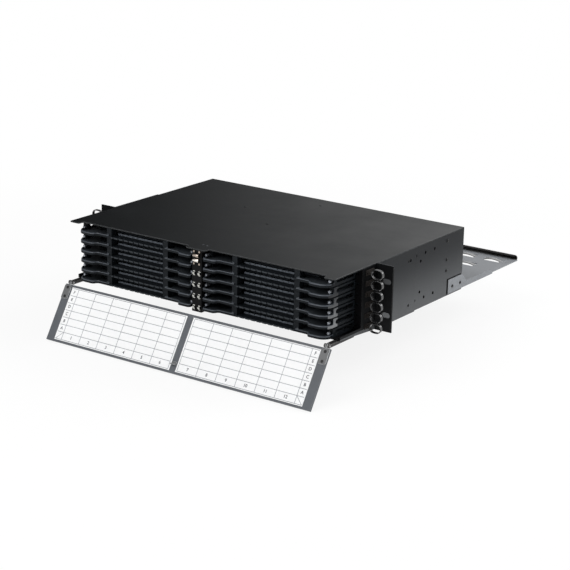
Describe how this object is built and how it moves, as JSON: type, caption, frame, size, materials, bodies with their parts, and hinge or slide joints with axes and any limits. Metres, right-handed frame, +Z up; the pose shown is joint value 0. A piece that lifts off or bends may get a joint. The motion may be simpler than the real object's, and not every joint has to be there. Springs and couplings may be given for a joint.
{
  "type": "fibre optic patch panel",
  "caption": "Rack-mount fibre patch panel with stacked sliding split trays, a fold-down label door, cable rings at the ears and an open rear slack plate.",
  "frame": {"origin": "centre of the rack hole pattern on the back face of the ears", "axes": "+X to the right seen from the front, +Y back into the rack, +Z up"},
  "size_m": [0.4826, 0.533, 0.1579],
  "materials": {
    "case_black": "satin powder coat",
    "slack_grey": "satin powder coat",
    "guide_plastic": "matt",
    "tray_plastic": "fine moulded texture",
    "knob_grey": "satin",
    "ring_plastic": "satin",
    "hinge_dark": "satin",
    "hinge_light": "satin",
    "card_white": "smooth",
    "pin_steel": "bright",
    "door_grey": "satin",
    "screw_black": "black oxide",
    "catch_nickel": "warm nickel"
  },
  "bodies": {
    "chassis": {"chassis_base": "case_black", "top_cover": "case_black", "centre_divider": "case_black", "slack_plate": "slack_grey", "rack_bracket_left": "case_black", "side_guide_left": "guide_plastic", "centre_guide_left": "guide_plastic", "hinge_arm_left": "hinge_dark", "cable_ring_left_1": "ring_plastic", "cable_ring_left_2": "ring_plastic", "cable_ring_left_3": "ring_plastic", "cable_ring_left_4": "ring_plastic", "cable_ring_left_5": "ring_plastic", "cable_ring_left_6": "ring_plastic", "rack_bracket_right": "case_black", "side_guide_right": "guide_plastic", "centre_guide_right": "guide_plastic", "hinge_arm_right": "hinge_dark", "cable_ring_right_1": "ring_plastic", "cable_ring_right_2": "ring_plastic", "cable_ring_right_3": "ring_plastic", "cable_ring_right_4": "ring_plastic", "cable_ring_right_5": "ring_plastic", "cable_ring_right_6": "ring_plastic", "hinge_pins": "pin_steel", "door_catch": "catch_nickel", "post_springs": "catch_nickel", "case_screws": "screw_black"},
    "label_door": {"door_frame": "door_grey", "door_screws": "screw_black", "door_strike": "pin_steel", "hinge_plate_left": "hinge_light", "hinge_plate_right": "hinge_light", "label_card_left": "card_white", "label_card_right": "card_white"},
    "sliding_tray_left_1": {"tray_left_1": "tray_plastic", "tray_knobs_left_1": "knob_grey"},
    "sliding_tray_left_2": {"tray_left_2": "tray_plastic", "tray_knobs_left_2": "knob_grey"},
    "sliding_tray_left_3": {"tray_left_3": "tray_plastic", "tray_knobs_left_3": "knob_grey"},
    "sliding_tray_left_4": {"tray_left_4": "tray_plastic", "tray_knobs_left_4": "knob_grey"},
    "sliding_tray_left_5": {"tray_left_5": "tray_plastic", "tray_knobs_left_5": "knob_grey"},
    "sliding_tray_left_6": {"tray_left_6": "tray_plastic", "tray_knobs_left_6": "knob_grey"},
    "sliding_tray_right_1": {"tray_right_1": "tray_plastic", "tray_knobs_right_1": "knob_grey"},
    "sliding_tray_right_2": {"tray_right_2": "tray_plastic", "tray_knobs_right_2": "knob_grey"},
    "sliding_tray_right_3": {"tray_right_3": "tray_plastic", "tray_knobs_right_3": "knob_grey"},
    "sliding_tray_right_4": {"tray_right_4": "tray_plastic", "tray_knobs_right_4": "knob_grey"},
    "sliding_tray_right_5": {"tray_right_5": "tray_plastic", "tray_knobs_right_5": "knob_grey"},
    "sliding_tray_right_6": {"tray_right_6": "tray_plastic", "tray_knobs_right_6": "knob_grey"}
  },
  "joints": [
    {"name": "label_door_hinge", "type": "hinge", "parent": "chassis", "child": "label_door", "pos_m": [0, -0.0997, -0.04105], "axis": [1, 0, 0], "range_deg": [-148.4, 0]},
    {"name": "tray_slide_left_1", "type": "slide", "parent": "chassis", "child": "sliding_tray_left_1", "axis": [0, -1, 0], "range_m": [0, 0.1]},
    {"name": "tray_slide_left_2", "type": "slide", "parent": "chassis", "child": "sliding_tray_left_2", "axis": [0, -1, 0], "range_m": [0, 0.1]},
    {"name": "tray_slide_left_3", "type": "slide", "parent": "chassis", "child": "sliding_tray_left_3", "axis": [0, -1, 0], "range_m": [0, 0.1]},
    {"name": "tray_slide_left_4", "type": "slide", "parent": "chassis", "child": "sliding_tray_left_4", "axis": [0, -1, 0], "range_m": [0, 0.1]},
    {"name": "tray_slide_left_5", "type": "slide", "parent": "chassis", "child": "sliding_tray_left_5", "axis": [0, -1, 0], "range_m": [0, 0.1]},
    {"name": "tray_slide_left_6", "type": "slide", "parent": "chassis", "child": "sliding_tray_left_6", "axis": [0, -1, 0], "range_m": [0, 0.1]},
    {"name": "tray_slide_right_1", "type": "slide", "parent": "chassis", "child": "sliding_tray_right_1", "axis": [0, -1, 0], "range_m": [0, 0.1]},
    {"name": "tray_slide_right_2", "type": "slide", "parent": "chassis", "child": "sliding_tray_right_2", "axis": [0, -1, 0], "range_m": [0, 0.1]},
    {"name": "tray_slide_right_3", "type": "slide", "parent": "chassis", "child": "sliding_tray_right_3", "axis": [0, -1, 0], "range_m": [0, 0.1]},
    {"name": "tray_slide_right_4", "type": "slide", "parent": "chassis", "child": "sliding_tray_right_4", "axis": [0, -1, 0], "range_m": [0, 0.1]},
    {"name": "tray_slide_right_5", "type": "slide", "parent": "chassis", "child": "sliding_tray_right_5", "axis": [0, -1, 0], "range_m": [0, 0.1]},
    {"name": "tray_slide_right_6", "type": "slide", "parent": "chassis", "child": "sliding_tray_right_6", "axis": [0, -1, 0], "range_m": [0, 0.1]}
  ]
}
